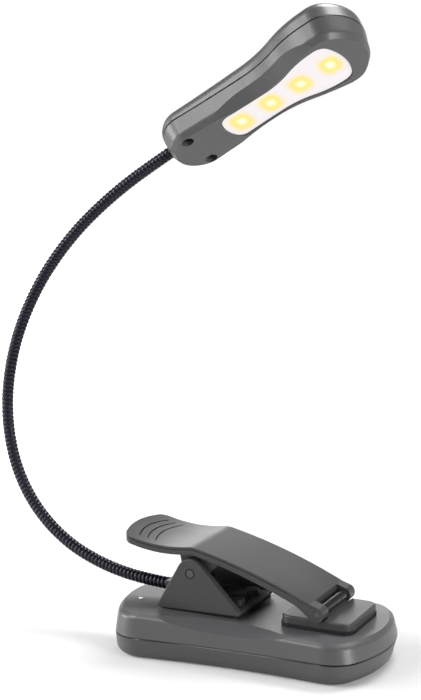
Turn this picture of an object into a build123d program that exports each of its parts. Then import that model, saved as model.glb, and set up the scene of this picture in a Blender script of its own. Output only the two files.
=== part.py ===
from build123d import *
import os
from math import cos, sin, tan, radians, pi

os.makedirs("parts", exist_ok=True)

# Clip-on reading lamp, sizes in millimetres and degrees.
# Origin: middle of the base's underside. +X runs to the pressing foot, +Z is up.

# Base
base_length = 102.5
base_half = 27.0
base_waist = 1.8
sole_waist = 3.2
base_nose = 9.0
base_corner = 12.0
seam_z = 8.0
rim_z = 14.5
band_rise = 1.45
band_inset = 1.5
rim_inset = 1.0
rim_round = 2.2
top_tilt = 1.45
foot_inset = 1.2
foot_shift = -1.0
bottom_round = 4.0
seam_bevel = 0.3
wall = 2.0
scoop_x = 1.0
scoop_y = 24.7
scoop_z = 12.8
scoop_angle = 24.0
scoop_radius = 140.0
cover_screw_x = 34.0
cover_screw_y = 19.0
screw_head_r = 2.0
screw_head_h = 1.4
screw_r = 1.0
pilot_gap = 0.05

# Clip bracket
ear_outer = 15.75
ear_thick = 2.5
ear_left = -31.6
ear_right = 0.8
ear_nose_r = 5.3
pin_x = -18.1
pin_z = 30.85
pin_r = 1.4
pin_head_r = 1.8
pin_head_h = 0.8
running_gap = 0.08
gasket_z = 15.3
floor_z = 17.2
floor_thick = 1.6
gasket_inset = 1.1
bracket_screw_y = 6.4

# Thumb lever
lever_half = 15.3
lever_tail_x = -47.0
lever_tail_z = 44.2
lever_dip_x = -29.0
lever_dip_z = 40.0
lever_kink_x = -17.4
lever_kink_z = 40.7
lever_mid_x = 5.0
lever_mid_z = 34.3
lever_bow = 3.0
lever_corner = 3.5
lever_thick = 2.8
lever_swell = 0.9
lever_skin = 0.8
lever_groove = 0.3
flange_thick = 2.6
side_gap = 0.4
grip_count = 3
grip_pitch = 3.2
grip_half = 11.3
grip_arc = 27.0

# Torsion spring
wire_r = 0.55
coil_r = 2.3
half_turns = 11
coil_pitch = 1.65
upper_leg = 17.0
lower_leg = 9.5
leg_rise = 13.0
leg_fall = 14.5

# Pressing foot
foot_x = 29.8
foot_z = 21.3
barrel_r = 2.0
barrel_half = 9.9
foot_pin_r = 0.9
lug_r = 2.7
foot_left = 15.5
foot_right = 42.0
foot_half = 14.2
foot_corner = 4.0
foot_thick = 2.7
foot_swing = 19.0
lug_gap = 0.35
pad_thick = 1.3
pad_lip = 0.4
pad_gap = 0.1

# Neck
neck_start_x = -20.0
neck_z = 20.6
neck_lean = 11.0
neck_turns = [6, 16, 23, 25, 21, 18, 15, 13, 9, 3]
length_each = 25.7
rib_count = 16
rib_r = 2.3
groove_r = 2.0
tip_r = 1.7
bore_r = 1.35
hinge_gap = 0.9
lead_r = 0.5
lead_offset = 0.62
ferrule_r = 2.9
ferrule_length = 8.5
sleeve_gap = 0.06
head_grip = 12.6

# Head, measured along its length from where the neck enters
head_start = 1.2
head_length = 86.2
head_twist = 3.0
head_narrow = 13.2
head_wide = 18.0
head_waist = 12.2
head_waist_x = 42.0
head_wide_run = 15.2
head_seam = 2.0
head_back = 6.4
head_back_rise = 2.3
head_face = -6.5
head_band = 2.2
band_in = 0.9
face_inset = 2.2
band_round = 2.4
head_tail = 9.0
head_nose = 8.6
head_corner = 9.0
head_round = 3.7
facet_z = -1.3
facet_slope = 1.35
facet_left = 23.0
facet_right = 22.0
facet_run = 50.0
facet_share = 0.29
head_wall = 1.7
lens_left = 25.0
lens_right = head_length - 10.2
lens_narrow = 8.3
lens_wide = 13.0
lens_waist = 7.8
lens_waist_x = 46.0
lens_wide_run = 6.5
lens_rim = 0.5
lens_recess = 0.7
led_count = 4
led_first = lens_left + 6.7
led_last = lens_right - 5.6
led_pitch = (led_last - led_first) / (led_count - 1)
led_size = 5.0
head_screw_x = 12.2
head_screw_y = 8.4
button_x = 20.0
button_r = 4.0
button_rise = 0.9
button_travel = 0.8


# Closed outline with two bowed ends and sides that draw in to a waist
def waisted(left, right, half_left, half_right, waist_x, waist_half, noses, corners, full_x=None, share=0.5):
    a = left + noses[0]
    b = right - noses[1]
    side = TangentArc((waist_x, waist_half), (a, half_left), tangent=(-1, 0))
    if full_x is None:
        side += TangentArc((waist_x, waist_half), (b, half_right), tangent=(1, 0))
    else:
        turn = (waist_x + (full_x - waist_x) * share, waist_half + (half_right - waist_half) * share)
        side += TangentArc((waist_x, waist_half), turn, tangent=(1, 0))
        side += TangentArc((full_x, half_right), turn, tangent=(-1, 0))
        side += Line((full_x, half_right), (b, half_right))
    ends = ThreePointArc((a, half_left), (left, 0), (a, -half_left))
    ends += ThreePointArc((b, half_right), (right, 0), (b, -half_right))
    face = make_face((side + mirror(side, Plane.XZ) + ends).edges())
    face = fillet(face.vertices().filter_by(lambda v: abs(v.X - a) < 0.01), corners[0])
    return fillet(face.vertices().filter_by(lambda v: abs(v.X - b) < 0.01), corners[1])


def base_outline(inset, waist=base_waist):
    half = base_half - inset
    end = base_length / 2 - inset
    corner = max(base_corner - inset, 3)
    return waisted(-end, end, half, half, scoop_x, half - waist, [base_nose] * 2, [corner] * 2)


def head_outline(inset):
    corners = [max(head_corner - inset, 3)] * 2
    return waisted(
        head_start + inset, head_length - inset, head_narrow - inset, head_wide - inset,
        head_waist_x, head_waist - inset, [head_tail, head_nose], corners, head_length - head_wide_run,
    )


# Outline that meets the head's sides near the waist and stands clear of its ends
def facet_outline(grow):
    full_x = head_waist_x + facet_run
    return waisted(
        head_start - 11.0, full_x + 14.0, facet_left + grow, facet_right + grow,
        head_waist_x, head_waist + grow, [14.0, 12.0], [3.0, 3.0], full_x, facet_share,
    )


def lens_outline(grow):
    return waisted(
        lens_left - grow, lens_right + grow, lens_narrow + grow, lens_wide + grow,
        lens_waist_x, lens_waist + grow, [2.6, 3.0], [4.0 + grow, 4.5 + grow], lens_right - lens_wide_run,
    )


# Large cylinder whose lowest line passes through a point on the side and climbs inwards
def scoop(x, y, z, angle, radius):
    slope = (0, cos(radians(angle)), sin(radians(angle)))
    centre = (0, -radius * sin(radians(angle)), radius * cos(radians(angle)))
    near = Plane(origin=centre, x_dir=(1, 0, 0), z_dir=slope) * Cylinder(radius, 120)
    near = Pos(x, -y, z) * near
    return near + mirror(near, Plane.XZ)


def rod(x, y, low, high, radius):
    return Pos(x, y, low) * Cylinder(radius, high - low, align=(Align.CENTER, Align.CENTER, Align.MIN))


def cross_rod(x, z, half, radius):
    return Pos(x, 0, z) * Rot(90, 0, 0) * Cylinder(radius, 2 * half)


def block(x0, x1, y0, y1, z0, z1):
    return Pos((x0 + x1) / 2, (y0 + y1) / 2, (z0 + z1) / 2) * Box(x1 - x0, y1 - y0, z1 - z0)


# Pan-head screw along +Z with the underside of its head at z
def screw(x, y, z, length):
    body = rod(x, y, z - screw_head_h, z, screw_head_r) + rod(x, y, z, z + length, screw_r)
    slot = Pos(x, y, z - screw_head_h) * (Box(2.4, 0.5, 1.4) + Box(0.5, 2.4, 1.4))
    return body - slot


def save(name, shape):
    export_step(shape, "parts/" + name + ".step")


# Base
top_z = rim_z + band_rise
top_fall = tan(radians(top_tilt))
tilted_rim = Plane(origin=(0, 0, rim_z), x_dir=(1, 0, -top_fall), z_dir=(top_fall, 0, 1))
tilted_top = Plane(origin=(0, 0, top_z), x_dir=(1, 0, -top_fall), z_dir=(top_fall, 0, 1))
base_screw_spots = [(sx * cover_screw_x, sy * cover_screw_y) for sx in (-1, 1) for sy in (-1, 1)]
counterbore = 3.0
socket_x = -21.0
socket_width = 9.0
socket_height = 3.2
socket_z = 6.4
board_z = socket_z - 1.2
indicator = (9.25 - base_length / 2, -8.5)

sole = Pos(foot_shift, 0) * base_outline(foot_inset, sole_waist)
bottom = loft([sole, Pos(0, 0, seam_z) * base_outline(0)], ruled=True)
bottom = fillet(bottom.edges().group_by(Axis.Z)[0], bottom_round)
bottom = chamfer(bottom.edges().group_by(Axis.Z)[-1], seam_bevel)
hollow = Pos(0, 0, wall) * extrude(base_outline(foot_inset + wall + 0.6, sole_waist), seam_z)
bottom -= hollow
for x, y in base_screw_spots:
    bottom += rod(x, y, wall - 0.2, seam_z, 2.9)
for x in (-38.0, -20.0):
    bottom += rod(x, -9, wall - 0.2, board_z, 2.0)
for x, y in base_screw_spots:
    bottom -= rod(x, y, -1, counterbore, screw_head_r + 0.3)
    bottom -= rod(x, y, 0, seam_z + 1, screw_r + 0.15)
port = block(
    socket_x - socket_width / 2 - 0.3, socket_x + socket_width / 2 + 0.3,
    base_half - 8, base_half + 4, socket_z - 0.3, socket_z + socket_height + 0.3,
)
bottom -= port

shell = loft(
    [Pos(0, 0, seam_z) * base_outline(0), tilted_rim * base_outline(rim_inset),
     tilted_top * base_outline(rim_inset + band_inset)],
    ruled=True,
)
rim_edges = shell.edges().filter_by(lambda e: abs(tilted_rim.to_local_coords(e.center()).Z) < 0.01)
shell = fillet(rim_edges, rim_round)
shell = chamfer(shell.edges().group_by(Axis.Z)[0], seam_bevel)
shell -= scoop(scoop_x, scoop_y, scoop_z, scoop_angle, scoop_radius)
shell -= Pos(0, 0, seam_z) * extrude(base_outline(wall + 0.6), 2.4)
ceiling = gasket_z - 1.9
shell -= Pos(0, 0, seam_z) * extrude(base_outline(9.5), ceiling - seam_z)
for x, y in base_screw_spots:
    shell += rod(x, y, seam_z, seam_z + 2.6, 2.9)
for x, y in base_screw_spots:
    shell -= rod(x, y, seam_z - 1, rim_z - 2.2, screw_r + pilot_gap)
gasket_left = ear_left + gasket_inset + 0.6
gasket_right = ear_right - gasket_inset
gasket_half = ear_outer - gasket_inset
shell -= block(
    gasket_left - 0.1, gasket_right + 0.1, -gasket_half - 0.1, gasket_half + 0.1, gasket_z, gasket_z + 6
)
bracket_screw_spots = [
    (x, y) for x in (ear_left + 5.6, ear_right - 4.6) for y in (-bracket_screw_y, bracket_screw_y)
]
lead_drop_x = pin_x + 5.5
for x, y in bracket_screw_spots:
    shell -= rod(x, y, ceiling - 1, gasket_z + 1, screw_r + 0.15)
shell -= rod(lead_drop_x, 0, ceiling - 1, gasket_z + 1, 1.9)
shell -= rod(indicator[0], indicator[1], seam_z, top_z + 3, 0.85)
shell -= port
save("base_bottom_cover", bottom)
save("base_top_shell", shell)
save("base_screws", Compound([screw(x, y, counterbore, 8.6) for x, y in base_screw_spots]))

cell_left = -10.5
board_right = cell_left - 3.0
cell = block(cell_left, 31.0, -14.0, 14.0, wall + 0.1, wall + 6.5)
save("battery", fillet(cell.edges(), 1.2))
tab_end = base_half - foot_inset - wall - sole_waist - 1.2
board = block(indicator[0] - 1.0, board_right, -10.5, 10.5, board_z, socket_z)
board += block(socket_x - 5.5, socket_x + 5.5, 10.0, tab_end, board_z, socket_z)
board += block(-38.0, -32.0, 2.0, 8.0, socket_z, socket_z + 1.2)
board += rod(-28, -6, socket_z, socket_z + 2.4, 2.5)
lamp = block(-0.8, 0.8, -0.8, 0.8, socket_z, socket_z + 0.7)
board += Pos(indicator[0], indicator[1], 0) * lamp
save("charge_board", board)
plug_face = base_half - base_waist - 0.3
inlet = block(-socket_width / 2, socket_width / 2, -7.2, 0, 0, socket_height)
inlet = fillet(inlet.edges().filter_by(Axis.Y), 1.2)
inlet -= block(-socket_width / 2 + 0.5, socket_width / 2 - 0.5, -6.0, 1, 0.45, socket_height - 0.45)
inlet += block(-3.3, 3.3, -6.5, -0.8, socket_height / 2 - 0.35, socket_height / 2 + 0.35)
save("charging_socket", Pos(socket_x, plug_face, socket_z) * inlet)
pipe_top = top_z - indicator[0] * top_fall + 0.1
save("indicator_light_pipe", rod(indicator[0], indicator[1], socket_z + 0.8, pipe_top, 0.75))
lead_mid = (cell_left + board_right) / 2
lead = Pos(lead_mid, 0, board_z + 0.6) * Rot(0, 90, 0) * Cylinder(lead_r, cell_left - board_right - 0.2)
save("battery_leads", Compound([Pos(0, y, 0) * lead for y in (-2.0, 2.0)]))

# Bracket: two ears on a floor, with the neck's socket between them
ear_sketch = Plane.XZ * make_hull(
    (Pos(ear_left + 0.8, floor_z + 0.8) * Circle(0.8) + Pos(ear_right - 0.8, floor_z + 0.8) * Circle(0.8)
     + Pos(pin_x, pin_z) * Circle(ear_nose_r)).edges()
)
ear = extrude(ear_sketch, ear_thick)
ear_inner = ear_outer - ear_thick
front_ear = Pos(0, -ear_outer + ear_thick, 0) * ear
ears = [front_ear, mirror(front_ear, Plane.XZ)]
inner_floor = floor_z + floor_thick
socket_end = neck_start_x - 0.6
saddle_top = neck_z + ferrule_r + 1.7
bracket = ears[0] + ears[1]
bracket = fillet(bracket.edges().filter_by(lambda e: abs(abs(e.center().Y) - ear_outer) < 0.01), 0.4)
bracket += block(ear_left + 0.5, ear_right - 0.5, -ear_inner - 0.5, ear_inner + 0.5, floor_z, inner_floor)
flange_out = ear_inner - side_gap
flange_in = flange_out - flange_thick
saddle_half = flange_in - 0.8
bracket += block(ear_left + 0.5, socket_end, -saddle_half, saddle_half, floor_z, saddle_top)
for x, y in bracket_screw_spots[2:]:
    bracket += rod(x, y, floor_z, inner_floor + 2.0, 2.5)
ferrule_bore = Pos(ear_left, 0, neck_z) * Rot(0, 90, 0) * Cylinder(ferrule_r + sleeve_gap, 60)
bracket -= ferrule_bore
bracket -= cross_rod(pin_x, pin_z, 30, pin_r + pilot_gap)
for side in (-1, 1):
    recess = cross_rod(pin_x, pin_z, pin_head_h / 2 + 0.05, pin_head_r + 0.1)
    bracket -= Pos(0, side * (ear_outer - pin_head_h / 2 + 0.05), 0) * recess
for x, y in bracket_screw_spots:
    bracket -= rod(x, y, floor_z - 1, inner_floor + 1.4, screw_r + pilot_gap)
bracket -= rod(lead_drop_x, 0, floor_z - 1, inner_floor + 1, 1.9)
save("clip_bracket", bracket)
gasket = block(gasket_left, gasket_right, -gasket_half, gasket_half, gasket_z, floor_z)
for x, y in bracket_screw_spots:
    gasket -= rod(x, y, gasket_z - 1, floor_z + 1, screw_r + 0.15)
gasket -= rod(lead_drop_x, 0, gasket_z - 1, floor_z + 1, 1.9)
save("bracket_gasket", gasket)
save("bracket_screws", Compound([screw(x, y, ceiling, 6.4) for x, y in bracket_screw_spots]))
pin = cross_rod(pin_x, pin_z, ear_outer, pin_r)
for side in (-1, 1):
    end_head = cross_rod(pin_x, pin_z, pin_head_h / 2 - 0.05, pin_head_r)
    pin += Pos(0, side * (ear_outer - pin_head_h / 2 - 0.05), 0) * end_head
save("lever_pin", pin)


# Lever: a bent strip seen from the side, cut to a rounded plan
def lever_strip(high, low, inset, swell=0):
    tail_x = lever_tail_x - 1
    end_x = foot_x + 0.4
    end_z = foot_z + lug_r - 0.4

    def bent_line(drop, more):
        kink = (lever_kink_x, lever_kink_z - drop)
        middle = (lever_mid_x, lever_mid_z - drop - more / 2)
        line = ThreePointArc((tail_x, lever_tail_z - drop), (lever_dip_x, lever_dip_z - drop), kink)
        return line + ThreePointArc(kink, middle, (end_x, end_z - drop - more))

    sides = Line((tail_x, lever_tail_z - high), (tail_x, lever_tail_z - low))
    sides += Line((end_x, end_z - high), (end_x, end_z - low - swell))
    strip = make_face((bent_line(high, 0) + bent_line(low, swell) + sides).edges())
    kinks = strip.vertices().filter_by(lambda v: abs(v.X - lever_kink_x) < 0.01)
    strip = fillet(kinks, 8.0)
    solid = extrude(Plane.XZ * strip, lever_half + 1, both=True)
    half = lever_half - inset
    tip = lever_tail_x + inset
    front = end_x - inset
    rim = ThreePointArc((tip + lever_bow, -half), (tip, 0), (tip + lever_bow, half))
    rim += Polyline((tip + lever_bow, half), (front, half), (front, -half), (tip + lever_bow, -half))
    plan = make_face(rim.edges())
    plan = fillet(plan.vertices().filter_by(lambda v: v.X < 0), lever_corner)
    plan = fillet(plan.vertices().filter_by(lambda v: v.X > front - 0.1), 1.2)
    return solid & extrude(plan, 80)


lever = lever_strip(0, lever_skin, 0)
lever += lever_strip(lever_skin - 0.05, lever_skin + lever_groove + 0.05, 0.35)
lever += lever_strip(lever_skin + lever_groove, lever_thick, 0, lever_swell)
slot_x = foot_x - barrel_r - 0.35
lever -= block(slot_x, foot_x + 20, -barrel_half - 0.4, barrel_half + 0.4, 0, 60)
flange_sketch = Plane.XZ * make_hull(
    (Pos(pin_x, pin_z) * Circle(4.1) + Pos(pin_x - 4.6, lever_dip_z - 2) * Circle(0.8)
     + Pos(pin_x + 10, lever_kink_z - 5.2) * Circle(0.8)).edges()
)
flange = Pos(0, -flange_in, 0) * extrude(flange_sketch, flange_thick)


def lug_shape(grow):
    return Plane.XZ * make_hull(
        (Pos(foot_x, foot_z) * Circle(lug_r + grow) + Pos(slot_x - 3, foot_z + 3.6) * Circle(0.8 + grow)
         + Pos(slot_x - 8.0, foot_z + 5.6) * Circle(0.8 + grow)).edges()
    )


lug = Pos(0, -barrel_half - 0.4, 0) * extrude(lug_shape(0), lever_half - barrel_half - 0.5)
for side in (flange, mirror(flange, Plane.XZ), lug, mirror(lug, Plane.XZ)):
    lever += side
lever -= cross_rod(pin_x, pin_z, 40, pin_r + running_gap)
lever -= cross_rod(foot_x, foot_z, 40, foot_pin_r + pilot_gap)
for k in range(grip_count):
    arc_x = lever_tail_x + 4.4 + grip_pitch * k
    middle_x = arc_x + grip_arc
    mark = rod(middle_x, 0, 0, 60, grip_arc + 0.25) - rod(middle_x, 0, 0, 60, grip_arc - 0.25)
    mark &= block(arc_x - 1, arc_x + 6, -grip_half, grip_half, 0, 60)
    lever -= mark & lever_strip(-1, 0.45, 1)
save("clip_lever", lever)

# Torsion spring: half-turn arcs about the pin, with two straight legs
rise = radians(leg_rise)
fall = radians(leg_fall)


# Point at an angle on the coil, at a place along the pin
def on_coil(angle, y):
    return Vector(pin_x + coil_r * cos(angle), y, pin_z + coil_r * sin(angle))


coil_start = -half_turns * coil_pitch / 4
angle = pi / 2 - rise
start = on_coil(angle, coil_start)
spring_path = Line(start + Vector(-upper_leg * cos(rise), 0, upper_leg * sin(rise)), start)
centres = []
for k in range(half_turns):
    here = on_coil(angle - pi * k, coil_start + coil_pitch * k / 2)
    there = on_coil(angle - pi * (k + 1), coil_start + coil_pitch * (k + 1) / 2)
    half_chord = (there - here).length / 2
    out = on_coil(angle - pi * (k + 0.5), 0) - Vector(pin_x, 0, pin_z)
    middle = (here + there) / 2 + out.normalized() * half_chord
    turn = ThreePointArc(here, middle, there)
    spring_path += turn
    centres += [turn @ (i / 12) for i in range(12)]
last = angle - pi * half_turns
coil_end = coil_start + coil_pitch * half_turns / 2
extra = rise + fall
bend = ThreePointArc(*[on_coil(last - extra * share, coil_end) for share in (0, 0.5, 1)])
leg_start = on_coil(last - extra, coil_end)
leg_way = Vector(sin(last - extra), 0, -cos(last - extra))
spring_path += bend
spring_path += Line(leg_start, leg_start + leg_way * lower_leg)
spring_wire = Wire(spring_path.edges())
spring_mouth = Plane(origin=spring_wire @ 0, z_dir=spring_wire % 0)
spring = sweep(spring_mouth * Circle(wire_r), path=spring_wire)
save("clip_spring", spring)
least = min(
    (a - b).length for i, a in enumerate(centres) for b in centres[i + 18:]
) - 2 * wire_r
print("clip_spring least gap between its turns, mm:", round(least, 3))

# Foot: lies along the base's sloping top, hinged on the lever by a barrel
foot_tilt = Pos(foot_x, 0, foot_z) * Rot(0, top_tilt, 0) * Pos(-foot_x, 0, -foot_z)
pad_low = top_z - foot_x * top_fall + pad_gap
foot_low = pad_low + pad_thick
foot_top = foot_low + foot_thick
foot_mid = (foot_left + foot_right) / 2
foot_plan = Pos(foot_mid, 0) * RectangleRounded(foot_right - foot_left, 2 * foot_half, foot_corner)
foot = Pos(0, 0, foot_low) * extrude(foot_plan, foot_thick)
foot = fillet(foot.edges().group_by(Axis.Z)[-1], 0.7)
lug_room = Pos(0, 0.5 - barrel_half, 0) * extrude(lug_shape(lug_gap), foot_half - barrel_half + 1.0)
swung = Pos(foot_x, 0, foot_z) * Rot(0, -foot_swing - top_tilt, 0) * Pos(-foot_x, 0, -foot_z)
lug_room += swung * lug_room
foot -= lug_room + mirror(lug_room, Plane.XZ)
foot += cross_rod(foot_x, foot_z, barrel_half, barrel_r)
foot += block(foot_x - 1.6, foot_x + 1.6, -barrel_half, barrel_half, foot_top - 0.5, foot_z)
foot -= cross_rod(foot_x, foot_z, 40, foot_pin_r + running_gap)
foot = foot_tilt * foot
pad = Pos(0, 0, pad_low) * extrude(offset(foot_plan, pad_lip), pad_thick)
pad = foot_tilt * pad
save("clamp_foot", foot)
save("foot_pad", pad)
save("foot_pin", cross_rod(foot_x, foot_z, lever_half - 0.15, foot_pin_r))

# Neck: each length is an arc in one plane that leans back, hinged to the next
plane_up = Vector(0, sin(radians(neck_lean)), cos(radians(neck_lean)))
across = Vector(0, cos(radians(neck_lean)), -sin(radians(neck_lean)))


def heading(angle):
    return Vector(1, 0, 0) * cos(radians(angle)) + plane_up * sin(radians(angle))


# Place along a length that starts at a point with a heading and turns steadily
def along(origin, angle, turn, distance):
    swept = turn * distance / length_each
    radius = length_each / radians(turn)
    chord = 2 * radius * sin(radians(swept) / 2)
    return origin + heading(angle - swept / 2) * chord, angle - swept


def round_section(origin, angle, radius):
    return Plane(origin=origin, x_dir=across, z_dir=heading(angle)) * Circle(radius)


def arc_tube(origin, angle, turn, low, high, radius, shift):
    ends = [along(origin, angle, turn, d)[0] + across * shift for d in (low, (low + high) / 2, high)]
    mouth = along(origin, angle, turn, low)[1]
    return sweep(round_section(ends[0], mouth, radius), path=ThreePointArc(*ends))


neck_start = Vector(neck_start_x, 0, neck_z)
point = neck_start
angle = 180.0
last_length = len(neck_turns) - 1
for k, turn in enumerate(neck_turns):
    low = 0 if k == 0 else hinge_gap / 2
    high = length_each if k == last_length else length_each - hinge_gap / 2
    pitch = (high - low) / rib_count
    sections = []
    for rib in range(rib_count):
        for part, radius in ((0.04, groove_r), (0.22, rib_r), (0.78, rib_r), (0.96, groove_r)):
            place, way = along(point, angle, turn, low + pitch * (rib + part))
            sections.append(round_section(place, way, radius))
    place, way = along(point, angle, turn, low)
    sections[0] = round_section(place, way, tip_r)
    place, way = along(point, angle, turn, high)
    sections[-1] = round_section(place, way, tip_r)
    hose = loft(sections, ruled=True) - arc_tube(point, angle, turn, low - 0.1, high + 0.1, bore_r, 0)
    save("neck_length_" + str(k + 1), hose)
    leads = [arc_tube(point, angle, turn, low, high, lead_r, s * lead_offset) for s in (-1, 1)]
    save("neck_leads_" + str(k + 1), Compound(leads))
    if k == last_length:
        neck_end, head_way = along(point, angle, turn, length_each)
    point, angle = along(point, angle, turn, length_each)
    print("neck hinge after", k + 1, [round(c, 3) for c in point], "heading", round(angle, 2))

ferrule_left = ear_left + 1.0
collar = Rot(0, 90, 0) * Cylinder(ferrule_r, ferrule_length)
collar = Pos(ferrule_left + ferrule_length / 2, 0, neck_z) * collar
collar -= arc_tube(neck_start, 180.0, neck_turns[0], 0, length_each, rib_r + sleeve_gap, 0)
save("base_ferrule", collar)
drop_r = 3.0
drop_z = neck_z - drop_r
start_x = neck_start_x + 0.3
drop_way = Line((start_x, 0, neck_z), (lead_drop_x - drop_r, 0, neck_z))
drop_way += ThreePointArc(
    (lead_drop_x - drop_r, 0, neck_z),
    (lead_drop_x - drop_r * (1 - sin(pi / 4)), 0, drop_z + drop_r * sin(pi / 4)),
    (lead_drop_x, 0, drop_z),
)
drop_way += Line((lead_drop_x, 0, drop_z), (lead_drop_x, 0, socket_z + 0.2))
drop_mouth = Plane(origin=(start_x, 0, neck_z), z_dir=(1, 0, 0))
drop = sweep(drop_mouth * Circle(lead_r), path=Wire(drop_way.edges()))
save("base_neck_leads", Compound([Pos(0, y, 0) * drop for y in (-lead_offset, lead_offset)]))

# Head, built flat with its LED face down, then set on the end of the neck
along_head = heading(head_way)
roll = radians(neck_lean + head_twist)
up_way = plane_up * cos(radians(head_way)) - Vector(1, 0, 0) * sin(radians(head_way))
up_way = up_way * cos(roll) + across * sin(roll)
on_head = Plane(origin=neck_end - along_head * head_grip, x_dir=along_head, z_dir=up_way)
screw_spots = [(head_screw_x, y) for y in (-head_screw_y, head_screw_y)]
floor = head_face + 1.9
screw_seat = head_face + 3.2
back_slope = tan(radians(head_back_rise))


# Height of the sloping back at a place along the head
def back_z(x):
    return head_back + x * back_slope


def back_plane(drop):
    return Plane(origin=(0, 0, head_back - drop), x_dir=(1, 0, back_slope), z_dir=(-back_slope, 0, 1))


button_face = back_z(button_x)
roof = button_face - head_wall

band_z = head_face + head_band
under = loft(
    [Pos(0, 0, head_face) * head_outline(face_inset), Pos(0, 0, band_z) * head_outline(band_in),
     Pos(0, 0, head_seam) * head_outline(0)],
    ruled=True,
)
under = fillet(under.edges().filter_by(lambda e: abs(e.center().Z - band_z) < 0.01), band_round)
under = chamfer(under.edges().group_by(Axis.Z)[-1], seam_bevel)
facet_ends = (head_face - 1.5, head_seam + 1)
facets = [Pos(0, 0, z) * facet_outline((z - facet_z) / facet_slope) for z in facet_ends]
under &= loft(facets, ruled=True)
under -= Pos(0, 0, floor) * extrude(head_outline(3.5), head_seam - floor + 1)
under -= Pos(0, 0, floor) * extrude(lens_outline(lens_rim + 0.3), head_seam - floor + 1)
neck_hole = Rot(0, 90, 0) * Cylinder(rib_r + 0.15, 24)
for x, y in screw_spots:
    under += rod(x, y, floor - 0.2, head_seam, 3.3)
saddle = block(4.3, 4.3 + ferrule_length - 2.5, -4.4, 4.4, floor - 0.2, head_seam)
head_bore = Pos(6.3, 0, 0) * Rot(0, 90, 0) * Cylinder(ferrule_r + sleeve_gap, ferrule_length)
under += saddle
under -= head_bore + neck_hole
for x, y in screw_spots:
    under -= rod(x, y, head_face - 1, screw_seat, screw_head_r + 0.3)
    under -= rod(x, y, screw_seat - 0.5, head_seam + 1, screw_r + 0.15)
under -= Pos(0, 0, head_face - 1) * extrude(lens_outline(0.12), 4)
save("head_led_shell", on_head * under)

seam_level = Pos(0, 0, head_seam)
cover = loft([seam_level * head_outline(0), back_plane(0) * head_outline(0)], ruled=True)
cover = fillet(cover.faces().sort_by(Axis.Z)[-1].edges(), head_round)
cover = chamfer(cover.edges().group_by(Axis.Z)[0], seam_bevel)
cover -= loft([seam_level * head_outline(3.4), back_plane(head_wall) * head_outline(3.4)], ruled=True)
for x, y in screw_spots:
    cover += rod(x, y, head_seam, back_z(x) - head_wall / 2, 2.7)
board_low = head_face + 4.5
board_top = board_low + 1.2
press_spots = [36.0, 66.0]
for x in press_spots:
    cover += rod(x, 0, board_top, back_z(x) - head_wall / 2, 1.6)
cover += block(4.3, 4.3 + ferrule_length - 2.5, -4.0, 4.0, head_seam, back_z(0) - head_wall / 2)
cover -= head_bore + neck_hole
for x, y in screw_spots:
    cover -= rod(x, y, head_seam - 1, head_seam + 2.6, screw_r + pilot_gap)
cover -= rod(button_x, 0, roof - 1, button_face + 1, button_r + 0.15)
save("head_back_cover", on_head * cover)
save("head_screws", Compound([on_head * screw(x, y, screw_seat, 7.3) for x, y in screw_spots]))

lens = Pos(0, 0, head_face + lens_recess) * extrude(lens_outline(0), floor - head_face - lens_recess)
lens = fillet(lens.edges().group_by(Axis.Z)[0], 0.3)
rim = lens_outline(lens_rim)
lens += Pos(0, 0, floor) * extrude(rim, 0.7)
lens += Pos(0, 0, floor + 0.7) * extrude(rim - lens_outline(-0.1), board_low - floor - 0.7)
save("head_lens", on_head * lens)

led_board = Pos(0, 0, board_low) * extrude(lens_outline(lens_rim - 0.1), board_top - board_low)
led_board += block(button_x - 5.0, lens_left + 4, -5.5, 5.5, board_low, board_top)
save("led_board", on_head * led_board)
leds = []
for k in range(led_count):
    x = led_first + led_pitch * k
    package = Box(led_size, led_size, 1.5) - Pos(0, 0, -0.75) * Cylinder(1.9, 0.6)
    leds.append(on_head * Pos(x, 0, board_low - 0.75) * package)
save("leds", Compound(leds))

flange_r = button_r + 0.9
flange_top = roof - 0.2 - flange_r * back_slope
button = rod(button_x, 0, flange_top, button_face + button_rise, button_r)
button = fillet(button.edges().group_by(Axis.Z)[-1], 0.5)
button += rod(button_x, 0, flange_top - 0.8, flange_top, flange_r)
button -= Pos(button_x, 0, button_face + button_rise + 11.6) * Sphere(12)
save("power_button", on_head * button)
switch_top = flange_top - 0.8 - button_travel - 0.2
switch = block(button_x - 3, button_x + 3, -3, 3, board_top, switch_top - 1.2)
switch += rod(button_x, 0, switch_top - 1.3, switch_top, 1.75)
save("push_switch", on_head * switch)

head_collar = Pos(6.3, 0, 0) * Rot(0, 90, 0) * Cylinder(ferrule_r, ferrule_length - 0.4)
head_collar -= Pos(6.3, 0, 0) * Rot(0, 90, 0) * Cylinder(rib_r + 0.16, 30)
save("head_ferrule", on_head * head_collar)
head_run = Line((head_grip + 0.2, 0, 0), (button_x - 3.6, 0, 0))
head_lead = sweep(Plane(origin=(head_grip + 0.2, 0, 0), z_dir=(1, 0, 0)) * Circle(lead_r), path=head_run)
save("head_leads", Compound([on_head * Pos(0, y, 0) * head_lead for y in (-lead_offset, lead_offset)]))
print("head at", [round(c, 3) for c in on_head.origin], "along", [round(c, 4) for c in on_head.x_dir])
print("head up", [round(c, 4) for c in on_head.z_dir])
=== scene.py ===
import math
import bpy
from mathutils import Matrix, Vector


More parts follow.
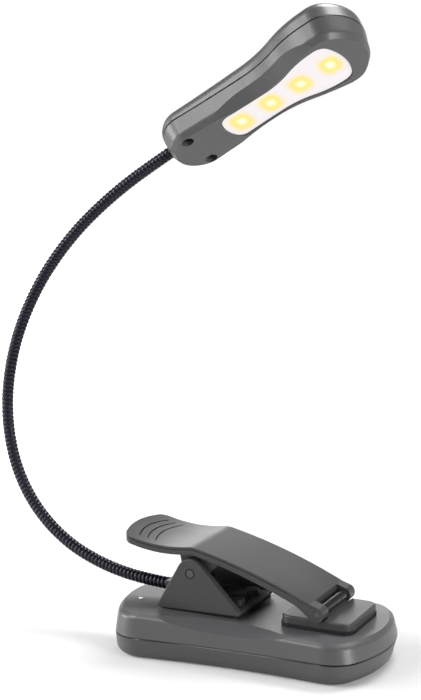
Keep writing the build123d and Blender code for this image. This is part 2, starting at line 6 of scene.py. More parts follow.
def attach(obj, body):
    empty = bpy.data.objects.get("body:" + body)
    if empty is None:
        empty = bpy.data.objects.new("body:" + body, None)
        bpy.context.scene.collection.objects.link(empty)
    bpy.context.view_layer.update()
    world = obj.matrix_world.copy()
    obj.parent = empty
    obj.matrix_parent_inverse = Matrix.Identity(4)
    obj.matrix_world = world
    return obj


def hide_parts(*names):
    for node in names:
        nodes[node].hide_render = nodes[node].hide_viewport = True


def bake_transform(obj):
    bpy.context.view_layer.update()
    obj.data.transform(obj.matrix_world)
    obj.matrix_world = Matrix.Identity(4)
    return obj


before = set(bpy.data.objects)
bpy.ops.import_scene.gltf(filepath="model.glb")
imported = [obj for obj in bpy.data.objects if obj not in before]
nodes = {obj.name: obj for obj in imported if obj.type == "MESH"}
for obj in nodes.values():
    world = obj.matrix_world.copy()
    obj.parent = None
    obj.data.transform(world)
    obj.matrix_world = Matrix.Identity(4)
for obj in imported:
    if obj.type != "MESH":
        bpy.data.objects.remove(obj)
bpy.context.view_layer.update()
scene = bpy.context.scene
scene.view_settings.view_transform = "Standard"
mm = 0.001
samePoint = 1e-7  # metres, closer than this counts as one point
neckLengths = 10
print("frame loaded with", len(nodes), "nodes")


def makeActive(piece):
    bpy.ops.object.select_all(action="DESELECT")
    piece.select_set(True)
    bpy.context.view_layer.objects.active = piece


def applyModifiers(piece):
    makeActive(piece)
    for modifier in list(piece.modifiers):
        bpy.ops.object.modifier_apply(modifier=modifier.name)


def faceOutward(piece):
    makeActive(piece)
    bpy.ops.object.mode_set(mode="EDIT")
    bpy.ops.mesh.select_all(action="SELECT")
    bpy.ops.mesh.normals_make_consistent(inside=False)
    bpy.ops.object.mode_set(mode="OBJECT")


# node helpers

def newMaterial(name):
    material = bpy.data.materials.new(name)
    material.use_nodes = True
    return material, material.node_tree, material.node_tree.nodes["Principled BSDF"]


def addNode(tree, kind, **settings):
    node = tree.nodes.new(kind)
    for key, value in settings.items():
        setattr(node, key, value)
    return node


def feed(tree, socket, value):  # links another node's output, or sets a plain value
    if isinstance(value, bpy.types.NodeSocket):
        tree.links.new(value, socket)
    else:
        socket.default_value = value


def mathNode(tree, operation, *values):
    node = addNode(tree, "ShaderNodeMath", operation=operation)
    for socket, value in zip(node.inputs, values):
        feed(tree, socket, value)
    return node.outputs[0]


def rangeNode(tree, value, given, wanted, **settings):  # carries a value from one span to another
    node = addNode(tree, "ShaderNodeMapRange", **settings)
    names = ("Value", "From Min", "From Max", "To Min", "To Max")
    for name, item in zip(names, (value, *given, *wanted)):
        feed(tree, node.inputs[name], item)
    return node.outputs["Result"]


def noiseNode(tree, place, scale, detail=2):
    node = addNode(tree, "ShaderNodeTexNoise")
    for name, item in (("Vector", place), ("Scale", scale), ("Detail", detail)):
        feed(tree, node.inputs[name], item)
    return node.outputs["Fac"]


def scaleColour(tree, colour, share):
    node = addNode(tree, "ShaderNodeVectorMath", operation="SCALE")
    tree.links.new(colour, node.inputs[0])
    feed(tree, node.inputs["Scale"], share)
    return node.outputs[0]


def rampNode(tree, value, stops, interpolation):
    node = addNode(tree, "ShaderNodeValToRGB")
    ramp = node.color_ramp
    ramp.interpolation = interpolation
    while len(ramp.elements) < len(stops):
        ramp.elements.new(0.5)
    for stop, (position, colour) in zip(ramp.elements, stops):
        stop.position = position
        stop.color = (*colour, 1)
    tree.links.new(value, node.inputs["Fac"])
    return node.outputs["Color"]


def localPlace(tree, location=None, rotation=(0, 0, 0)):  # object coordinates, or those of a given frame
    place = addNode(tree, "ShaderNodeTexCoord").outputs["Object"]
    if location is None:
        return place
    shift = addNode(tree, "ShaderNodeMapping", vector_type="TEXTURE")
    shift.inputs["Location"].default_value = location
    shift.inputs["Rotation"].default_value = rotation
    tree.links.new(place, shift.inputs["Vector"])
    return shift.outputs[0]


def splitAxes(tree, place):
    split = addNode(tree, "ShaderNodeSeparateXYZ")
    tree.links.new(place, split.inputs[0])
    return split.outputs["X"], split.outputs["Y"], split.outputs["Z"]


def nearLevel(tree, value, level, half):  # 1 where a value lies within half of a level
    gap = mathNode(tree, "ABSOLUTE", mathNode(tree, "SUBTRACT", value, level))
    return mathNode(tree, "LESS_THAN", gap, half)


def radius(tree, first, second):
    squares = [mathNode(tree, "POWER", side, 2) for side in (first, second)]
    return mathNode(tree, "SQRT", mathNode(tree, "ADD", *squares))


# moulded grain: fine specks over a slow drift of tone and gloss
grainFacts = {
    "fineDetail": 3, "slowScale": 45, "slowDetail": 4, "slowMiddle": 0.5, "slowSpan": (0.3, 0.7),
    "speck": (0.92, 1.08), "depth": 0.06, "ior": 1.5,
}
grainInputs = {
    "Vector": "Vector", "Tone": "Color", "Drift": "Float", "Grain Size": "Float",
    "Rough Low": "Float", "Rough High": "Float",
}
grainOutputs = {"Color": "Color", "Roughness": "Float", "Height": "Float"}


def buildMouldGrain():
    group = bpy.data.node_groups.new("mouldGrain", "ShaderNodeTree")
    for way, sockets in (("INPUT", grainInputs), ("OUTPUT", grainOutputs)):
        for name, kind in sockets.items():
            group.interface.new_socket(name, in_out=way, socket_type="NodeSocket" + kind)
    source = addNode(group, "NodeGroupInput").outputs
    drain = addNode(group, "NodeGroupOutput").inputs
    fine = noiseNode(group, source["Vector"], source["Grain Size"], grainFacts["fineDetail"])
    slow = noiseNode(group, source["Vector"], grainFacts["slowScale"], grainFacts["slowDetail"])
    centred = mathNode(group, "SUBTRACT", slow, grainFacts["slowMiddle"])
    swing = mathNode(group, "MULTIPLY_ADD", centred, source["Drift"], 1)
    gain = mathNode(group, "MULTIPLY", swing, rangeNode(group, fine, (0, 1), grainFacts["speck"]))
    gloss = (source["Rough Low"], source["Rough High"])
    group.links.new(scaleColour(group, source["Tone"], gain), drain["Color"])
    group.links.new(rangeNode(group, slow, grainFacts["slowSpan"], gloss), drain["Roughness"])
    group.links.new(fine, drain["Height"])
    return group


mouldGrain = buildMouldGrain()


def grainMaterial(name, look):
    material, tree, shader = newMaterial(name)
    grain = addNode(tree, "ShaderNodeGroup", node_tree=mouldGrain)
    given = {
        "Vector": localPlace(tree), "Tone": (*look["tone"], 1), "Drift": look["drift"],
        "Grain Size": look["grain"], "Rough Low": look["rough"][0], "Rough High": look["rough"][1],
    }
    for socket, value in given.items():
        feed(tree, grain.inputs[socket], value)
    bump = addNode(tree, "ShaderNodeBump")
    bump.inputs["Strength"].default_value = look["bump"]
    bump.inputs["Distance"].default_value = grainFacts["depth"] * mm
    tree.links.new(grain.outputs["Height"], bump.inputs["Height"])
    tree.links.new(bump.outputs["Normal"], shader.inputs["Normal"])
    tree.links.new(grain.outputs["Color"], shader.inputs["Base Color"])
    tree.links.new(grain.outputs["Roughness"], shader.inputs["Roughness"])
    shader.inputs["Metallic"].default_value = look.get("metal", 0)
    shader.inputs["IOR"].default_value = grainFacts["ior"]
    shader.inputs["Specular IOR Level"].default_value = look.get("shine", 0.5)
    return material, tree, shader, grain


# used for painted shade in grooves, gaps and parting lines, and for the darker hinge barrel
def darkenOver(tree, shader, grain, mask, level):  # a dark grey laid over the grain wherever the mask is 1
    darkened = addNode(tree, "ShaderNodeMix", data_type="RGBA")
    tree.links.new(mask, darkened.inputs["Factor"])
    tree.links.new(grain.outputs["Color"], darkened.inputs["A"])
    darkened.inputs["B"].default_value = (level, level, level, 1)
    tree.links.new(darkened.outputs["Result"], shader.inputs["Base Color"])


def wear(node, material):
    mesh = nodes[node].data
    mesh.materials.clear()
    mesh.materials.append(material)


# plain finishes
finishes = {
    "charcoalClip": {
        "tone": (0.027, 0.027, 0.028), "drift": 0.14, "grain": 2600, "rough": (0.3, 0.38), "bump": 0.14,
        "shine": 0.34,
    },
    "blackRubber": {
        "tone": (0.008, 0.008, 0.009), "drift": 0.3, "grain": 1800, "rough": (0.6, 0.72), "bump": 0.25,
        "shine": 0.25,
    },
    "springSteel": {
        "tone": (0.32, 0.32, 0.33), "drift": 0.2, "grain": 1500, "rough": (0.25, 0.38), "bump": 0.05,
        "metal": 1,
    },
    "darkSteel": {
        "tone": (0.1, 0.1, 0.105), "drift": 0.15, "grain": 1500, "rough": (0.28, 0.4), "bump": 0.06,
        "metal": 1,
    },
    "blackNeck": {
        "tone": (0.006, 0.0045, 0.01), "drift": 0.3, "grain": 1200, "rough": (0.24, 0.32), "bump": 0.03,
        "shine": 0.26,
    },
    "leadCover": {
        "tone": (0.02, 0.02, 0.02), "drift": 0.2, "grain": 1500, "rough": (0.45, 0.55), "bump": 0.1,
    },
    "cellWrap": {
        "tone": (0.45, 0.46, 0.5), "drift": 0.1, "grain": 600, "rough": (0.35, 0.5), "bump": 0.2,
        "metal": 0.6,
    },
    "boardGreen": {
        "tone": (0.03, 0.13, 0.06), "drift": 0.2, "grain": 900, "rough": (0.35, 0.45), "bump": 0.1,
    },
    "ledPackage": {
        "tone": (0.85, 0.72, 0.3), "drift": 0.1, "grain": 1500, "rough": (0.3, 0.4), "bump": 0.05,
    },
    "clearPipe": {
        "tone": (0.86, 0.87, 0.88), "drift": 0.05, "grain": 1500, "rough": (0.2, 0.3), "bump": 0.03,
    },
    "softButton": {
        "tone": (0.028, 0.028, 0.03), "drift": 0.2, "grain": 1800, "rough": (0.5, 0.6), "bump": 0.2,
    },
}
made = {name: grainMaterial(name, look)[0] for name, look in finishes.items()}

neckLeads = ["neck_leads_%d" % k for k in range(1, neckLengths + 1)]
wearing = {
    "charcoalClip": ["clip_bracket"],
    "blackRubber": ["bracket_gasket"],
    "darkSteel": ["base_screws", "bracket_screws", "head_screws", "foot_pin", "base_ferrule", "head_ferrule"],
    "springSteel": ["charging_socket"],
    "leadCover": ["battery_leads", "base_neck_leads", "head_leads"] + neckLeads,
    "cellWrap": ["battery"],
    "boardGreen": ["charge_board", "led_board", "push_switch"],
    "ledPackage": ["leds"],
    "clearPipe": ["indicator_light_pipe"],
    "softButton": ["power_button"],
}
for finish, names in wearing.items():
    for name in names:
        wear(name, made[finish])
print("plain finishes on the CAD pieces")

# lever: the clip's plastic with painted shade in the grip grooves on the upper side of its tail
gripFacts = {
    "first": -42.6, "pitch": 3.2, "count": 3, "arc": 27.0, "half": 11.3, "width": 0.3, "until": -30.0,
    "above": 38.5, "darkTone": 0.004,
}


def buildLeverFinish():
    material, tree, shader, grain = grainMaterial("charcoalLever", finishes["charcoalClip"])
    x, y, z = splitAxes(tree, localPlace(tree))
    grooves = 0.0
    for k in range(gripFacts["count"]):
        middle = (gripFacts["first"] + gripFacts["pitch"] * k + gripFacts["arc"]) * mm
        reach = radius(tree, mathNode(tree, "SUBTRACT", x, middle), y)
        groove = nearLevel(tree, reach, gripFacts["arc"] * mm, gripFacts["width"] * mm)
        grooves = mathNode(tree, "MAXIMUM", grooves, groove)
    limits = (
        mathNode(tree, "LESS_THAN", mathNode(tree, "ABSOLUTE", y), gripFacts["half"] * mm),
        mathNode(tree, "LESS_THAN", x, gripFacts["until"] * mm),
        mathNode(tree, "GREATER_THAN", z, gripFacts["above"] * mm),
    )
    for limit in limits:
        grooves = mathNode(tree, "MULTIPLY", grooves, limit)
    # the grooves are painted near-black as shade
    darkenOver(tree, shader, grain, grooves, gripFacts["darkTone"])
    return material


wear("clip_lever", buildLeverFinish())

# lever pin: blackened head with a ring of painted shade round its middle
pinFacts = {"at": (-18.1, 0.0, 30.85), "ring": 1.6, "half": 0.32, "darkTone": 0.003}
pinLook = {"tone": (0.035, 0.035, 0.036), "drift": 0.15, "grain": 1500, "rough": (0.28, 0.36), "bump": 0.06}


def buildPinFinish():
    material, tree, shader, grain = grainMaterial("pinBlack", pinLook)
    x, _, z = splitAxes(tree, localPlace(tree, Vector(pinFacts["at"]) * mm))
    ring = nearLevel(tree, radius(tree, x, z), pinFacts["ring"] * mm, pinFacts["half"] * mm)
    # painted shade in a ring round the pin head
    darkenOver(tree, shader, grain, ring, pinFacts["darkTone"])
    return material


wear("lever_pin", buildPinFinish())

# clamp foot: the hinge barrel is darker and glossier than the rest of the foot
barrelFacts = {"at": (29.8, 0.0, 21.3), "radius": 2.15, "polish": 0.16, "darkTone": 0.008}


def buildFootFinish():
    material, tree, shader, grain = grainMaterial("charcoalFoot", finishes["charcoalClip"])
    x, _, z = splitAxes(tree, localPlace(tree, Vector(barrelFacts["at"]) * mm))
    barrel = mathNode(tree, "LESS_THAN", radius(tree, x, z), barrelFacts["radius"] * mm)
    darkenOver(tree, shader, grain, barrel, barrelFacts["darkTone"])
    polished = addNode(tree, "ShaderNodeMix")
    tree.links.new(barrel, polished.inputs["Factor"])
    tree.links.new(grain.outputs["Roughness"], polished.inputs["A"])
    polished.inputs["B"].default_value = barrelFacts["polish"]
    tree.links.new(polished.outputs["Result"], shader.inputs["Roughness"])
    return material


wear("clamp_foot", buildFootFinish())
print("lever, pin and foot finishes")

# head frame: along the head, across it and up out of its back
headOrigin = Vector((-46.215, 30.392, 176.955)) * mm
headAlong = Vector((0.8572, 0.0983, 0.5056)).normalized()
headUp = Vector((-0.4997, 0.3962, 0.7703)).normalized()
headAcross = headUp.cross(headAlong)
headTurn = Matrix((headAlong, headAcross, headUp)).transposed().to_euler()

# base and head shells: satin plastic with a shadowed parting line
shellLook = {"tone": (0.046, 0.046, 0.048), "drift": 0.14, "grain": 2600, "rough": (0.31, 0.39), "bump": 0.12}
baseSeam = {"level": 8.0, "half": 0.32}
headSeam = {"level": 2.0, "half": 0.3}
seamShade = 0.005


def buildShellFinish(name, seam, *frameOfPiece):
    material, tree, shader, grain = grainMaterial(name, shellLook)
    height = splitAxes(tree, localPlace(tree, *frameOfPiece))[2]
    line = nearLevel(tree, height, seam["level"] * mm, seam["half"] * mm)
    # painted shade along the parting line's groove
    darkenOver(tree, shader, grain, line, seamShade)
    return material


baseShell = buildShellFinish("charcoalBase", baseSeam)
headShell = buildShellFinish("charcoalHead", headSeam, headOrigin, headTurn)
for name in ("base_bottom_cover", "base_top_shell"):
    wear(name, baseShell)
for name in ("head_led_shell", "head_back_cover"):
    wear(name, headShell)
print("shell finishes")

# lens: four warm glows with white hearts behind a milky sheet
lensFacts = {
    "first": 31.7, "pitch": 12.9, "reach": 9.0, "alongShare": 1.24, "acrossShare": 0.9, "squareness": 3,
    "wobbleScale": 260, "wobble": 1.1, "face": -5.45, "strength": 0.84, "milk": 0.12, "rough": 0.25,
    "shine": 0.25,
}
glowStops = [
    (0.0, (1.0, 1.0, 0.97)), (0.17, (1.0, 0.97, 0.72)), (0.26, (1.0, 0.89, 0.4)), (0.38, (0.98, 0.79, 0.21)),
    (0.5, (0.95, 0.79, 0.34)), (0.68, (0.9, 0.82, 0.7)), (0.84, (0.88, 0.83, 0.85)),
]


def buildLensGlow():
    material, tree, shader = newMaterial("glowingLens")
    place = localPlace(tree, headOrigin, headTurn)
    u, v, w = splitAxes(tree, place)
    fromFirst = mathNode(tree, "SUBTRACT", u, lensFacts["first"] * mm)
    along = mathNode(tree, "PINGPONG", fromFirst, lensFacts["pitch"] / 2 * mm)
    powers = []
    for side, share in ((along, lensFacts["alongShare"]), (v, lensFacts["acrossShare"])):
        length = mathNode(tree, "ABSOLUTE", mathNode(tree, "MULTIPLY", side, share))
        powers.append(mathNode(tree, "POWER", length, lensFacts["squareness"]))
    square = mathNode(tree, "POWER", mathNode(tree, "ADD", *powers), 1 / lensFacts["squareness"])
    ripple = noiseNode(tree, place, lensFacts["wobbleScale"])
    wobble = mathNode(tree, "MULTIPLY", ripple, lensFacts["wobble"] * mm)
    away = mathNode(tree, "DIVIDE", mathNode(tree, "ADD", square, wobble), lensFacts["reach"] * mm)
    glow = rampNode(tree, away, glowStops, "EASE")
    front = mathNode(tree, "LESS_THAN", w, lensFacts["face"] * mm)  # only the outer face shines
    tree.links.new(scaleColour(tree, glow, front), shader.inputs["Emission Color"])
    tree.links.new(scaleColour(tree, glow, lensFacts["milk"]), shader.inputs["Base Color"])
    shader.inputs["Emission Strength"].default_value = lensFacts["strength"]
    shader.inputs["Roughness"].default_value = lensFacts["rough"]
    shader.inputs["Specular IOR Level"].default_value = lensFacts["shine"]
    return material


wear("head_lens", buildLensGlow())
print("lens glow")

# neck: one helical hose, cut into pieces that are curved across each hinge
neckFacts = {
    "start": (-20.0, 0.0, 20.6), "startAngle": 180.0, "lean": 11.0,
    "turns": [6, 16, 23, 25, 21, 18, 15, 13, 9, 3],
    "lengthEach": 25.7, "ribsEach": 16, "groove": 1.9, "crest": 2.3, "ribPoints": 16, "around": 28,
    "mergeWithin": 0.001, "bendHalf": 12.0, "lineSteps": 32,
}
lean = math.radians(neckFacts["lean"])
planeUp = Vector((0, math.sin(lean), math.cos(lean)))


def neckHeading(angle):
    return Vector((math.cos(math.radians(angle)), 0, 0)) + planeUp * math.sin(math.radians(angle))


def walkNeck():  # hinge points, headings and handle lengths along the neck
    point = Vector(neckFacts["start"])
    angle = neckFacts["startAngle"]
    stops = [(point, neckHeading(angle))]
    handles = []
    for turn in neckFacts["turns"]:
        bend = neckFacts["lengthEach"] / math.radians(turn)
        handles.append(4 / 3 * math.tan(math.radians(turn) / 4) * bend)
        point = point + neckHeading(angle - turn / 2) * (2 * bend * math.sin(math.radians(turn) / 2))
        angle -= turn
        stops.append((point, neckHeading(angle)))
    return stops, handles


neckStops, neckHandles = walkNeck()


def drawNeckLine():
    curve = bpy.data.curves.new("neckLine", "CURVE")
    curve.dimensions = "3D"
    curve.resolution_u = neckFacts["lineSteps"]
    spline = curve.splines.new("BEZIER")
    spline.bezier_points.add(len(neckStops) - 1)
    for k, (knot, (point, way)) in enumerate(zip(spline.bezier_points, neckStops)):
        knot.handle_left_type = knot.handle_right_type = "FREE"
        knot.co = point * mm
        knot.handle_left = (point - way * neckHandles[max(k - 1, 0)]) * mm
        knot.handle_right = (point + way * neckHandles[min(k, len(neckHandles) - 1)]) * mm
    line = bpy.data.objects.new("neckLine", curve)
    scene.collection.objects.link(line)
    return line


neckLine = drawNeckLine()


def hosePiece(name, begin, ribs):  # ribs wound by the Screw modifier, then bent along the neck's line
    pitch = neckFacts["lengthEach"] / neckFacts["ribsEach"] * mm
    groove = neckFacts["groove"] * mm
    middle = (pitch / 2, 0, groove)
    bpy.ops.mesh.primitive_circle_add(
        vertices=neckFacts["ribPoints"], radius=pitch / 2, location=middle, rotation=(math.pi / 2, 0, 0),
    )
    hose = bpy.context.object
    hose.name = name
    bpy.ops.object.transform_apply(location=True, rotation=True, scale=True)
    bpy.ops.object.mode_set(mode="EDIT")
    bpy.ops.mesh.select_all(action="SELECT")
    flatten = (neckFacts["crest"] - neckFacts["groove"]) * mm / (pitch / 2)
    bpy.ops.transform.resize(value=(1, 1, flatten), center_override=middle)
    bpy.ops.mesh.select_all(action="DESELECT")
    bpy.ops.object.mode_set(mode="OBJECT")
    for vertex in hose.data.vertices:
        vertex.select = vertex.co.z < groove - samePoint
    bpy.ops.object.mode_set(mode="EDIT")
    bpy.ops.mesh.delete(type="VERT")
    bpy.ops.object.mode_set(mode="OBJECT")
    wind = hose.modifiers.new("wind", "SCREW")
    wind.axis = "X"
    wind.screw_offset = pitch
    wind.iterations = ribs
    wind.steps = wind.render_steps = neckFacts["around"]
    wind.use_merge_vertices = True
    wind.merge_threshold = neckFacts["mergeWithin"] * mm
    wind.use_normal_calculate = True
    applyModifiers(hose)
    hose.data.transform(Matrix.Translation((begin * mm, 0, 0)))
    follow = hose.modifiers.new("follow", "CURVE")
    follow.object = neckLine
    follow.deform_axis = "POS_X"
    bpy.context.view_layer.update()
    applyModifiers(hose)
    faceOutward(hose)
    bpy.ops.object.shade_smooth()
    hose.data.materials.append(made["blackNeck"])
    return hose


halfLength = neckFacts["lengthEach"] / 2
halfRibs = neckFacts["ribsEach"] // 2
firstHose = hosePiece("neckHoseRoot", 0, halfRibs)
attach(firstHose, "base")
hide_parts("neck_length_1")
for k in range(1, neckLengths):
    hose = hosePiece("neckHose%d" % k, halfLength + (k - 1) * neckFacts["lengthEach"], neckFacts["ribsEach"])
    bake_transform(hose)
    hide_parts("neck_length_%d" % (k + 1))
lastHose = hosePiece("neckHoseTip", halfLength + (neckLengths - 1) * neckFacts["lengthEach"], halfRibs)
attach(lastHose, "head")
bpy.data.objects.remove(neckLine)
print("neck hose in", neckLengths + 1, "pieces")

# torsion spring on the lever pin, its upper leg reaches out under the lever's tail
springFacts = {
    "pin": (-18.1, 30.85), "wire": 0.55, "coil": 2.3, "halfTurns": 11, "pitch": 1.65, "rise": 13.0,
    "fall": 14.5, "upperLeg": 17.0, "lowerLeg": 9.5, "around": 14, "steps": 150, "pickShare": 1.05,
    "smoothAngle": 40,
}


def drawOutLeg(spring, centre, leg):  # draws an end ring of the coil out into a straight leg and closes it
    for vertex in spring.data.vertices:
        vertex.select = (vertex.co - centre).length < springFacts["wire"] * springFacts["pickShare"] * mm
    bpy.ops.object.mode_set(mode="EDIT")
    bpy.ops.mesh.select_mode(type="VERT")
    bpy.ops.mesh.extrude_region_move(TRANSFORM_OT_translate={"value": leg * mm})
    bpy.ops.mesh.edge_face_add()
    bpy.ops.mesh.select_all(action="DESELECT")
    bpy.ops.object.mode_set(mode="OBJECT")


def buildSpring():
    coil = springFacts["coil"] * mm
    rise = math.radians(springFacts["rise"])
    first = math.pi / 2 - rise
    swept = springFacts["halfTurns"] * math.pi + rise + math.radians(springFacts["fall"])
    last = first - swept
    width = springFacts["pitch"] * swept / (2 * math.pi) * mm
    bpy.ops.mesh.primitive_circle_add(
        vertices=springFacts["around"], radius=springFacts["wire"] * mm, location=(coil, 0, 0),
    )
    spring = bpy.context.object
    spring.name = "clipSpringWire"
    bpy.ops.object.transform_apply(location=True, rotation=True, scale=True)
    spring.data.transform(Matrix.Rotation(-first, 4, "Y"))
    wind = spring.modifiers.new("wind", "SCREW")
    wind.axis = "Y"
    wind.angle = swept
    wind.screw_offset = width
    wind.steps = wind.render_steps = springFacts["steps"]
    applyModifiers(spring)
    upperEnd = Vector((coil * math.cos(first), 0, coil * math.sin(first)))
    lowerEnd = Vector((coil * math.cos(last), width, coil * math.sin(last)))
    drawOutLeg(spring, upperEnd, Vector((-math.cos(rise), 0, math.sin(rise))) * springFacts["upperLeg"])
    drawOutLeg(spring, lowerEnd, Vector((math.sin(last), 0, -math.cos(last))) * springFacts["lowerLeg"])
    bpy.ops.object.mode_set(mode="EDIT")
    bpy.ops.mesh.select_all(action="SELECT")
    bpy.ops.mesh.remove_doubles(threshold=samePoint)
    bpy.ops.object.mode_set(mode="OBJECT")
    faceOutward(spring)
    pinX, pinZ = springFacts["pin"]
    start = -springFacts["halfTurns"] * springFacts["pitch"] / 4
    spring.data.transform(Matrix.Translation(Vector((pinX, start, pinZ)) * mm))
    bpy.ops.object.shade_smooth_by_angle(angle=math.radians(springFacts["smoothAngle"]))
    spring.data.materials.append(made["springSteel"])
    return spring


clipSpring = buildSpring()
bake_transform(clipSpring)
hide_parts("clip_spring")
print("spring wound")

# rubber sole of the clamp foot: a slab with a groove round its edge
padFacts = {
    "left": 15.1, "right": 42.4, "half": 14.6, "corner": 4.4, "cornerSteps": 8, "low": 15.296,
    "layers": (0.55, 0.2, 0.55), "groove": 0.3, "edge": 0.09, "edgeSteps": 2, "hinge": (29.8, 21.3),
    "tilt": 1.45, "smoothAngle": 35,
}


def buildPad():
    length = (padFacts["right"] - padFacts["left"]) * mm
    width = 2 * padFacts["half"] * mm
    middle = Vector(((padFacts["left"] + padFacts["right"]) / 2, 0, padFacts["low"])) * mm
    cut = 2 * padFacts["groove"] * mm
    narrow = ((length - cut) / length, (width - cut) / width, 1)
    widen = tuple(1 / share for share in narrow)
    bpy.ops.mesh.primitive_plane_add(size=1)
    pad = bpy.context.object
    pad.name = "clampSole"
    pad.scale = (length, width, 1)
    bpy.ops.object.transform_apply(location=True, rotation=True, scale=True)
    bpy.ops.object.mode_set(mode="EDIT")
    bpy.ops.mesh.select_all(action="SELECT")
    bpy.ops.mesh.bevel(offset=padFacts["corner"] * mm, segments=padFacts["cornerSteps"], affect="VERTICES")
    bpy.ops.mesh.select_all(action="SELECT")
    for thickness, resize in zip(padFacts["layers"], (narrow, widen, None)):
        bpy.ops.mesh.extrude_region_move(TRANSFORM_OT_translate={"value": (0, 0, thickness * mm)})
        if resize:
            bpy.ops.mesh.extrude_region_move(TRANSFORM_OT_translate={"value": (0, 0, 0)})
            bpy.ops.transform.resize(value=resize, center_override=(0, 0, 0))
    bpy.ops.object.mode_set(mode="OBJECT")
    faceOutward(pad)
    rounding = pad.modifiers.new("rounding", "BEVEL")
    rounding.width = padFacts["edge"] * mm
    rounding.segments = padFacts["edgeSteps"]
    rounding.limit_method = "ANGLE"
    applyModifiers(pad)
    pad.data.transform(Matrix.Translation(middle))
    hinge = Vector((padFacts["hinge"][0], 0, padFacts["hinge"][1])) * mm
    tilt = Matrix.Rotation(math.radians(padFacts["tilt"]), 4, "Y")
    pad.data.transform(Matrix.Translation(hinge) @ tilt @ Matrix.Translation(-hinge))
    bpy.ops.object.shade_smooth_by_angle(angle=math.radians(padFacts["smoothAngle"]))
    pad.data.materials.append(made["blackRubber"])
    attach(pad, "foot")
    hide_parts("foot_pad")


buildPad()
print("clamp sole laid")

# floor: pale paper that brightens into the backdrop
floorFacts = {
    "size": 8.0, "tone": 0.4, "cloud": 0.01, "cloudScale": 3, "rough": 0.9,
    "lift": 0.1, "near": 0.14, "far": 0.46,
}


def buildFloor():
    bpy.ops.mesh.primitive_plane_add(size=floorFacts["size"])
    floor = bpy.context.object
    floor.name = "paleFloor"
    material, tree, shader = newMaterial("paleFloor")
    place = localPlace(tree)
    x, y, _ = splitAxes(tree, place)
    tones = (floorFacts["tone"] - floorFacts["cloud"], floorFacts["tone"] + floorFacts["cloud"])
    tone = rangeNode(tree, noiseNode(tree, place, floorFacts["cloudScale"]), (0, 1), tones)
    tree.links.new(tone, shader.inputs["Base Color"])
    shader.inputs["Roughness"].default_value = floorFacts["rough"]
    shader.inputs["Specular IOR Level"].default_value = 0.0
    reach = (floorFacts["near"], floorFacts["far"])
    sweep = rangeNode(
        tree, radius(tree, x, y), reach, (floorFacts["lift"], 1.0), interpolation_type="SMOOTHSTEP",
    )
    seen = addNode(tree, "ShaderNodeLightPath").outputs["Is Camera Ray"]
    tree.links.new(mathNode(tree, "MULTIPLY", seen, sweep), shader.inputs["Emission Strength"])
    shader.inputs["Emission Color"].default_value = (1, 1, 1, 1)
    floor.data.materials.append(material)


buildFloor()

# world: white to the camera, and to the plastic a studio that is bright below, dim above the horizon
skyStops = [(0.0, 0.75), (0.5, 0.8), (0.56, 0.62), (0.66, 0.14), (0.8, 0.1), (0.93, 0.3), (1.0, 0.45)]


def buildWorld():
    world = bpy.data.worlds.new("studio")
    scene.world = world
    world.use_nodes = True
    tree = world.node_tree
    tree.nodes.clear()
    ray = addNode(tree, "ShaderNodeLightPath")
    seen = mathNode(tree, "MAXIMUM", ray.outputs["Is Camera Ray"], ray.outputs["Is Transmission Ray"])
    way = addNode(tree, "ShaderNodeTexCoord").outputs["Generated"]
    height = rangeNode(tree, splitAxes(tree, way)[2], (-1, 1), (0, 1))
    greys = [(position, (level, level, level)) for position, level in skyStops]
    studio = addNode(tree, "ShaderNodeBackground")
    tree.links.new(rampNode(tree, height, greys, "LINEAR"), studio.inputs["Color"])
    white = addNode(tree, "ShaderNodeBackground")
    white.inputs["Color"].default_value = (1, 1, 1, 1)
    pick = addNode(tree, "ShaderNodeMixShader")
    tree.links.new(seen, pick.inputs["Fac"])
    tree.links.new(studio.outputs[0], pick.inputs[1])
    tree.links.new(white.outputs[0], pick.inputs[2])
    tree.links.new(pick.outputs[0], addNode(tree, "ShaderNodeOutputWorld").inputs["Surface"])


buildWorld()

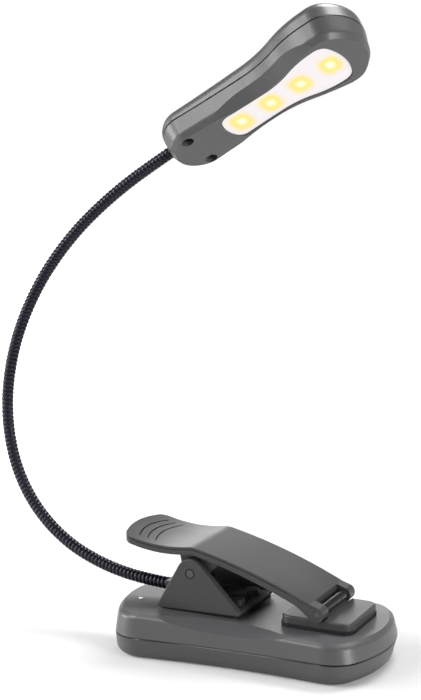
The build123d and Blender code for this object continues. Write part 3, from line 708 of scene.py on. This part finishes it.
# softboxes: the two fills are left out of mirror reflections, and weaker edge lights draw the highlights
softboxes = {
    "overhead": {"at": (0.12, 0.42, 0.9), "aim": (0, 0, 0.05), "size": (0.5, 0.4), "power": 12.0},
    "leftFill": {
        "at": (-0.88, -0.2, 0.25), "aim": (0, 0, 0.08), "size": (0.6, 0.8), "power": 22.0, "mirrored": False,
    },
    "leftEdge": {"at": (-0.88, -0.3, 0.16), "aim": (0, 0, 0.08), "size": (0.4, 0.4), "power": 4.5},
    "rightFill": {
        "at": (0.9, -0.22, 0.25), "aim": (0, 0, 0.08), "size": (0.5, 0.8), "power": 13.0, "mirrored": False,
    },
    "rightEdge": {"at": (0.9, -0.3, 0.16), "aim": (0, 0, 0.08), "size": (0.36, 0.4), "power": 5.0},
    "backLeft": {"at": (-0.45, 1.1, 0.3), "aim": (0, 0, 0.05), "size": (0.7, 0.34), "power": 2.2},
    "frontLeft": {"at": (-0.65, -0.62, 0.75), "aim": (0, 0.03, 0.2), "size": (0.4, 0.4), "power": 7.5},
}
for name, box in softboxes.items():
    lamp = bpy.data.lights.new(name, "AREA")
    lamp.shape = "RECTANGLE"
    lamp.size, lamp.size_y = box["size"]
    lamp.energy = box["power"]
    holder = bpy.data.objects.new(name, lamp)
    scene.collection.objects.link(holder)
    holder.visible_glossy = box.get("mirrored", True)
    holder.location = box["at"]
    holder.rotation_euler = (Vector(box["aim"]) - Vector(box["at"])).to_track_quat("-Z", "Y").to_euler()
print("studio lit")

# camera at the photograph's angle
cameraFacts = {
    "azimuth": 25.9, "elevation": 9.2, "roll": -1.2, "distance": 0.6, "focalPixels": 1660.0,
    "originPixel": (256.0, 650.0), "imageSize": (421, 700), "sensor": 36, "nearest": 0.01,
}


def placeCamera():
    az, el, roll = (math.radians(cameraFacts[k]) for k in ("azimuth", "elevation", "roll"))
    right = Vector((math.cos(az), math.sin(az), 0))
    up = Vector((-math.sin(az) * math.sin(el), math.cos(az) * math.sin(el), math.cos(el)))
    back = Vector((math.sin(az) * math.cos(el), -math.cos(az) * math.cos(el), math.sin(el)))
    right, up = right * math.cos(roll) + up * math.sin(roll), up * math.cos(roll) - right * math.sin(roll)
    imageWidth, imageHeight = cameraFacts["imageSize"]
    px, py = cameraFacts["originPixel"]
    perPixel = cameraFacts["distance"] / cameraFacts["focalPixels"]
    aside = right * ((px - imageWidth / 2) * perPixel)
    above = up * ((py - imageHeight / 2) * perPixel)
    lens = bpy.data.cameras.new("photoCamera")
    lens.sensor_fit = "VERTICAL"
    lens.sensor_height = cameraFacts["sensor"]
    lens.lens = cameraFacts["focalPixels"] * cameraFacts["sensor"] / imageHeight
    lens.clip_start = cameraFacts["nearest"]
    camera = bpy.data.objects.new("photoCamera", lens)
    scene.collection.objects.link(camera)
    turn = Matrix((right, up, back)).transposed().to_4x4()
    camera.matrix_world = Matrix.Translation(back * cameraFacts["distance"] - aside + above) @ turn
    scene.camera = camera


placeCamera()
print("camera placed")
